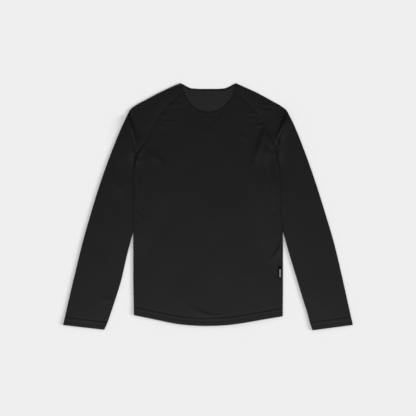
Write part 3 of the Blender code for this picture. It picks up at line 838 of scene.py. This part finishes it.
def add_shell(name, outer, inner, places, joined, materials, slot):
    """A wall of cloth between two grids of points, closed round its rim.

    The first rows, as many as are joined, close on themselves. The inner face takes the second
    material. The UV map holds places on the cloth in metres.
    """
    index = np.arange(outer.shape[0] * outer.shape[1]).reshape(outer.shape[:2])
    own_quads = link_quads(index)
    index[:joined, -1] = index[:joined, 0]
    quads = link_quads(index)
    ends = {}
    for quad, mine in zip(quads, own_quads):
        for i in range(4):
            j = (i + 1) % 4
            ends[(quad[i], quad[j])] = (mine[i], mine[j])
    rim = [(pair, mine) for pair, mine in ends.items() if pair[::-1] not in ends]
    count = index.size
    faces, corners, kinds = [], [], []
    for quad, mine in zip(quads, own_quads):
        faces += [quad, [i + count for i in quad[::-1]]]
        corners += [mine, mine[::-1]]
        kinds += [0, 1]
    for (a, b), (mine_a, mine_b) in rim:
        faces.append([b, a, a + count, b + count])
        corners.append((mine_b, mine_a, mine_a, mine_b))
        kinds.append(0)
    points = np.concatenate([outer.reshape(-1, 3), inner.reshape(-1, 3)])
    made = add_piece(name, points, faces, materials)
    mesh = made.data
    uv = mesh.uv_layers.new(name="cloth")
    flat = places.reshape(-1, 2)[np.array(corners).reshape(-1)] * MM
    uv.data.foreach_set("uv", flat.astype(np.float32).reshape(-1))
    mesh.polygons.foreach_set("material_index", kinds)
    edit = bmesh.new()
    edit.from_mesh(mesh)
    loose = [vertex for vertex in edit.verts if not vertex.link_faces]
    bmesh.ops.delete(edit, geom=loose, context="VERTS")
    bmesh.ops.recalc_face_normals(edit, faces=edit.faces)
    edit.to_mesh(mesh)
    edit.free()
    mesh.set_sharp_from_angle(angle=math.radians(SHARP_ANGLE))
    return made


# Materials


def math_node(tree, operation, first, second=None):
    made = tree.nodes.new("ShaderNodeMath")
    made.operation = operation
    for number, value in enumerate((first, second)):
        if value is None:
            continue
        if isinstance(value, (int, float)):
            made.inputs[number].default_value = value
        else:
            tree.links.new(value, made.inputs[number])
    return made.outputs[0]


def new_material(name, roughness, specular, sheen=0.0):
    material = bpy.data.materials.new(name)
    material.use_nodes = True
    tree = material.node_tree
    shader = tree.nodes["Principled BSDF"]
    shader.inputs["Roughness"].default_value = roughness
    shader.inputs["Specular IOR Level"].default_value = specular
    shader.inputs["Sheen Weight"].default_value = sheen
    return material, tree, shader


def object_places(tree):
    return tree.nodes.new("ShaderNodeTexCoord").outputs["Object"]


def mottle(tree, shader, places, colour, scale, amount):
    """Gives the shader a colour that varies a little from place to place."""
    noise = tree.nodes.new("ShaderNodeTexNoise")
    noise.inputs["Scale"].default_value = scale
    noise.inputs["Detail"].default_value = MOTTLE_DETAIL
    tree.links.new(places, noise.inputs["Vector"])
    ramp = tree.nodes.new("ShaderNodeValToRGB")
    low, high = ramp.color_ramp.elements
    low.position, high.position = MOTTLE_RANGE
    low.color = (*(c * (1 - amount) for c in colour), 1.0)
    high.color = (*(c * (1 + amount) for c in colour), 1.0)
    tree.links.new(noise.outputs["Fac"], ramp.inputs["Fac"])
    tree.links.new(ramp.outputs["Color"], shader.inputs["Base Color"])


def raise_bump(tree, shader, height, strength, relief):
    """Raises the shader's surface by a height between 0 and 1, times its relief."""
    bump = tree.nodes.new("ShaderNodeBump")
    bump.inputs["Strength"].default_value = strength
    bump.inputs["Distance"].default_value = relief * MM
    tree.links.new(height, bump.inputs["Height"])
    tree.links.new(bump.outputs["Normal"], shader.inputs["Normal"])


def knit_material(name, colour, roughness, specular, sheen, wale, course, relief):
    """Plain jersey: columns of small V stitches, worked out from places on the cloth."""
    material, tree, shader = new_material(name, roughness, specular, sheen)
    uv_map = tree.nodes.new("ShaderNodeUVMap")
    uv_map.uv_map = "cloth"
    places = uv_map.outputs["UV"]
    split = tree.nodes.new("ShaderNodeSeparateXYZ")
    tree.links.new(places, split.inputs[0])
    across = math_node(tree, "MULTIPLY", split.outputs["X"], 1.0 / (wale * MM))
    along = math_node(tree, "MULTIPLY", split.outputs["Y"], 1.0 / (course * MM))
    in_wale = math_node(tree, "FRACT", across)
    from_middle = math_node(tree, "ABSOLUTE", math_node(tree, "SUBTRACT", in_wale, 0.5))
    slant = math_node(tree, "MULTIPLY", from_middle, KNIT_SLANT)
    slanted = math_node(tree, "SUBTRACT", along, slant)
    course_wave = math_node(tree, "SINE", math_node(tree, "MULTIPLY", slanted, 2 * math.pi))
    leg = math_node(tree, "SINE", math_node(tree, "MULTIPLY", from_middle, 2 * math.pi))
    change = math_node(tree, "MULTIPLY", course_wave, COURSE_SHARE)
    height = math_node(tree, "MULTIPLY", leg, math_node(tree, "ADD", change, 1 - COURSE_SHARE))
    raise_bump(tree, shader, height, KNIT_BUMP, relief)
    mottle(tree, shader, places, colour, *KNIT_MOTTLE)
    return material


def thread_material(name, colour):
    material, tree, shader = new_material(name, *THREAD_FINISH)
    mottle(tree, shader, object_places(tree), colour, *THREAD_MOTTLE)
    return material


def woven_material(name, colour):
    """A woven label: fine crossing threads."""
    material, tree, shader = new_material(name, *WOVEN_FINISH)
    places = object_places(tree)
    split = tree.nodes.new("ShaderNodeSeparateXYZ")
    tree.links.new(places, split.inputs[0])
    waves = []
    for axis in ("X", "Y"):
        turns = math_node(tree, "MULTIPLY", split.outputs[axis], 2 * math.pi / (WOVEN_PITCH * MM))
        waves.append(math_node(tree, "SINE", turns))
    raise_bump(tree, shader, math_node(tree, "MULTIPLY", *waves), WOVEN_BUMP, WOVEN_RELIEF)
    mottle(tree, shader, places, colour, *WOVEN_MOTTLE)
    return material


def floor_material():
    material, tree, shader = new_material("floor_paper", *FLOOR_FINISH)
    mottle(tree, shader, object_places(tree), FLOOR_PALE, *FLOOR_MOTTLE)
    return material


# Sewing


def thread_stitch(start, end, side_way, up_way, half_width, height):
    """A stitch's points: two tips and two rings of four between them."""
    run = end - start
    rings = [start]
    for share in STITCH_SHARES:
        middle = start + share * run
        for across, up in STITCH_RING:
            rings.append(middle + across * half_width * side_way + up * height * up_way)
    rings.append(end)
    return rings


# By point number: a tip, 0, two rings, 1 to 4 and 5 to 8, and the other tip, 9.
STITCH_FACES = (
    [(0, 1 + i, 1 + (i + 1) % 4) for i in range(4)]
    + [(1 + i, 5 + i, 5 + (i + 1) % 4, 1 + (i + 1) % 4) for i in range(4)]
    + [(9, 5 + (i + 1) % 4, 5 + i) for i in range(4)]
)


def add_stitches(name, stitches, thread):
    """The stitches that lie on a surface, as one mesh."""
    points, faces = [], []
    for stitch in filter(None, stitches):
        base = len(points)
        points.extend(thread_stitch(*stitch))
        faces.extend(tuple(base + i for i in face) for face in STITCH_FACES)
    return add_piece(name, points, faces, [thread])


def surface_tree(pieces):
    """A search tree over the pieces' surfaces, in metres."""
    points, faces = [], []
    for piece in pieces:
        base = len(points)
        points.extend(vertex.co.copy() for vertex in piece.data.vertices)
        faces.extend(tuple(base + i for i in face.vertices) for face in piece.data.polygons)
    return BVHTree.FromPolygons(points, faces)


def drop_on(tree, x, y):
    """The height of the uppermost surface at a place, in millimetres, or None."""
    hit = tree.ray_cast(Vector((x * MM, y * MM, RAY_HEIGHT * MM)), Vector((0.0, 0.0, -1.0)))
    return None if hit[0] is None else hit[0].z / MM


def stitch_between(tree, places, side_way, half_width, height):
    """A stitch on the surface between two places, or None where one is past its edge."""
    ends = []
    for place in places:
        level = drop_on(tree, *place)
        if level is None:
            return None
        ends.append(np.array([*place, level + THREAD_SUNK * height]))
    return (*ends, np.array([*side_way, 0.0]), UPWARD, half_width, height)


def running_stitches(tree, line):
    """Stitches one behind the other along a line on the surface."""
    count = int((line.length - 2 * STITCH_INSET) / STITCH_PITCH)
    pitch = (line.length - 2 * STITCH_INSET) / count
    stitches = []
    for number in range(count):
        near = STITCH_INSET + number * pitch
        far = near + STITCH_FILL * pitch
        across = np.array([-1.0, 1.0]) * line.way_at((near + far) / 2)[::-1]
        ends = line.at((near, far))[:, :2]
        stitches.append(stitch_between(tree, ends, across, THREAD_HALF_WIDTH, THREAD_HEIGHT))
    return stitches


def ladder_stitches(tree, line):
    """A flat seam's cover threads: short stitches that cross the seam side by side."""
    stitches = []
    count = int(line.length / LADDER_PITCH)
    for number in range(1, count):
        distance = line.length * number / count
        way = line.way_at(distance)
        across = np.array([-way[1], way[0]])
        lean = LADDER_LEAN * way * (1 if number % 2 else -1)
        reach = LADDER_HALF_LENGTH * across + lean
        middle = line.at(distance)[:2]
        ends = middle - reach, middle + reach
        stitches.append(stitch_between(tree, ends, way, LADDER_HALF_WIDTH, LADDER_HEIGHT))
    return stitches


def band_rings():
    """The neckband's rings: over the front, round one shoulder, along the back and round."""
    half = BAND_THICKNESS / 2
    levels = {"front": STACK - half, "back": half}
    turn_radius = (levels["front"] - levels["back"]) / 2
    middle = (levels["front"] + levels["back"]) / 2
    rings, along = [], []

    def ring(row, level, thick, place=None):
        place = row[:2] if place is None else place
        width = (BAND_WIDTH - BAND_CLEAR) * np.array([*compass(row[2]), 0.0])
        base = np.array([*place, level])
        rings.append([base + a * width + half * t * thick for a, t in BAND_SECTION])
        along.append(base)

    for layer, count in BAND_RINGS.items():
        facing = FACING[layer]
        distances = np.linspace(0.0, NECK[layer].length, count + 1)[::facing]
        for row in NECK[layer].at(distances):
            sink = neck_sink(row[0]) if layer == "front" else 0.0
            ring(row, levels[layer] - sink, facing * UPWARD)
        normal = np.array([*SIDES[LEFT if layer == "front" else RIGHT].shoulder_normal, 0.0])
        for angle in BAND_TURN_ANGLES:
            turn = math.radians(facing * angle)
            thick = math.cos(turn) * normal + math.sin(turn) * UPWARD
            place = row[:2] + turn_radius * math.cos(turn) * normal[:2]
            ring(row, middle + turn_radius * math.sin(turn), thick, place)
    return np.array(rings), np.array(along)


def add_band(material):
    rings, along = band_rings()
    count, around = rings.shape[:2]
    index = np.arange(count * around).reshape(count, around)
    index = np.concatenate([index, index[:1]])
    index = np.concatenate([index, index[:, :1]], axis=1)
    points = rings.reshape(-1, 3)
    made = add_piece("neckband_binding", points, link_quads(index), [material])
    _, run = measured(np.concatenate([along, along[:1]]))
    shares = [share for share, _ in BAND_SECTION] + [0.0]
    uv = made.data.uv_layers.new(name="cloth")
    flat = []
    for row in range(count):
        for column in range(around):
            for r, c in ((0, 0), (0, 1), (1, 1), (1, 0)):
                flat.append((shares[column + c] * BAND_WIDTH * MM, run[row + r] * MM))
    uv.data.foreach_set("uv", np.array(flat, np.float32).reshape(-1))
    return made


def patch_on(below, name, x_range, y_range, clear, thickness, counts, material):
    """A small woven patch that follows the surface of the piece below it."""
    tree = surface_tree([below])
    xs = np.linspace(*x_range, counts[0])
    ys = np.linspace(*y_range, counts[1])
    outer = np.zeros((len(ys), len(xs), 3))
    for row, y in enumerate(ys):
        for column, x in enumerate(xs):
            outer[row, column] = (x, y, drop_on(tree, x, y) + clear + thickness)
    rim = (0, -1)
    inner = outer - (0.0, 0.0, thickness)
    outer[rim, :, 2] -= RIM_SHARE * thickness
    outer[1:-1, rim, 2] -= RIM_SHARE * thickness
    places = outer[:, :, :2].copy()
    return add_shell(name, outer, inner, places, 0, [material, material], "label")


# The garment


def build_cloth():
    """The five cloth pieces as knit shells, each in place of its solid."""
    outside = knit_material("jersey_outside", KNIT_BLACK, *OUTSIDE_FINISH)
    inside = knit_material("jersey_inside", INSIDE_BLACK, *INSIDE_FINISH)
    binding = knit_material("binding_knit", KNIT_BLACK, *OUTSIDE_FINISH)
    jersey = [outside, inside]
    made = {}
    for layer in FACING:
        made[layer] = add_shell(f"{layer}_cloth", *panel_grid(layer), 0, jersey, "jersey")
        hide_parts(f"{layer}_panel")
    for side, which in SIDE_NAMES.items():
        made[side] = add_shell(f"sleeve_{which}_cloth", *sleeve_grid(side), jersey, "jersey")
        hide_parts(f"sleeve_{which}")
    made["band"] = add_band(binding)
    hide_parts("neckband")
    return made


def sew(cloth):
    """The stitch rows along the hem and cuffs, and the flat seams of the raglan sleeves."""
    thread = thread_material("sewing_thread", THREAD_BLACK)
    tree = surface_tree(cloth.values())
    rows = []
    for up in HEM_ROWS:
        rows += running_stitches(tree, Line(HEM).offset(up))
    made = [add_stitches("hem_stitching", rows, thread)]
    for side, which in SIDE_NAMES.items():
        lines = SIDES[side]
        rows = []
        for up in CUFF_ROWS:
            start, end = lines.inner.at(up), lines.outer.at(up)
            rows += running_stitches(tree, Line((start, (start + end) / 2, end)))
        made.append(add_stitches(f"cuff_{which}_stitching", rows, thread))
        seam = ladder_stitches(tree, lines.front)
        made.append(add_stitches(f"raglan_{which}_stitching", seam, thread))
    return made


def add_label(front):
    """The woven label at the wearer's left side seam, with a plain bar woven into it."""
    black = woven_material("label_weave", LABEL_BLACK)
    pale = woven_material("label_bar_weave", LABEL_PALE)
    label = patch_on(
        front, "label_cloth", LABEL_X, LABEL_Y, LABEL_CLEAR, LABEL_THICKNESS, LABEL_GRID, black
    )
    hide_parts("side_label")
    bar = patch_on(label, "label_bar", BAR_X, BAR_Y, BAR_CLEAR, BAR_THICKNESS, BAR_GRID, pale)
    return label, bar


def build_garment():
    cloth = build_cloth()
    stitching = sew(cloth)
    label, bar = add_label(cloth["front"])
    return [*cloth.values(), *stitching, label, bar]


# The stage


def build_floor():
    mesh = bpy.data.meshes.new("floor")
    half = FLOOR_HALF
    corners = [(-half, -half, 0.0), (half, -half, 0.0), (half, half, 0.0), (-half, half, 0.0)]
    mesh.from_pydata(corners, [], [(0, 1, 2, 3)])
    mesh.materials.append(floor_material())
    floor = bpy.data.objects.new("floor", mesh)
    floor.location = (0.0, 0.0, FLOOR_LEVEL * MM)
    bpy.context.scene.collection.objects.link(floor)
    return floor


def add_light(name, kind, place, energy):
    """A lamp that points at the frame's middle."""
    light = bpy.data.lights.new(name, kind)
    light.energy = energy
    made = bpy.data.objects.new(name, light)
    made.location = place
    made.rotation_euler = (-Vector(place)).to_track_quat("-Z", "Y").to_euler()
    bpy.context.scene.collection.objects.link(made)
    return made


def light_only(lamp, pieces):
    """Keeps a lamp's light to these pieces. Everything still throws its shadow."""
    lit = bpy.data.collections.new(f"lit_by_{lamp.name}")
    for piece in pieces:
        lit.objects.link(piece)
    lamp.light_linking.receiver_collection = lit


def build_light(garment, floor):
    """An even dome, a low sun for the floor, and a softbox for the garment."""
    world = bpy.data.worlds.new("studio")
    world.use_nodes = True
    background = world.node_tree.nodes["Background"]
    background.inputs["Color"].default_value = (1.0, 1.0, 1.0, 1.0)
    background.inputs["Strength"].default_value = DOME_STRENGTH
    bpy.context.scene.world = world
    level, rise = compass(SUN_ELEVATION)
    sun = add_light("sun", "SUN", (*(level * compass(SUN_AZIMUTH)), rise), SUN_STRENGTH)
    sun.data.angle = math.radians(SUN_WIDTH)
    softbox = add_light("softbox", "AREA", SOFTBOX_PLACE, SOFTBOX_POWER)
    softbox.data.shape = "RECTANGLE"
    softbox.data.size, softbox.data.size_y = SOFTBOX_SIZE
    light_only(sun, [floor])
    light_only(softbox, garment)
    view = bpy.context.scene.view_settings
    view.view_transform = "Standard"
    view.look = "None"


def build_camera():
    camera = bpy.data.cameras.new("camera")
    camera.sensor_width = SENSOR_WIDTH
    camera.lens = SENSOR_WIDTH * CAMERA_HEIGHT / (PIXEL_SIZE * FRAME_PIXELS)
    made = bpy.data.objects.new("camera", camera)
    made.location = (VIEW_CENTRE[0] * MM, VIEW_CENTRE[1] * MM, CAMERA_HEIGHT * MM)
    bpy.context.scene.collection.objects.link(made)
    bpy.context.scene.camera = made


build_camera()
build_light(build_garment(), build_floor())
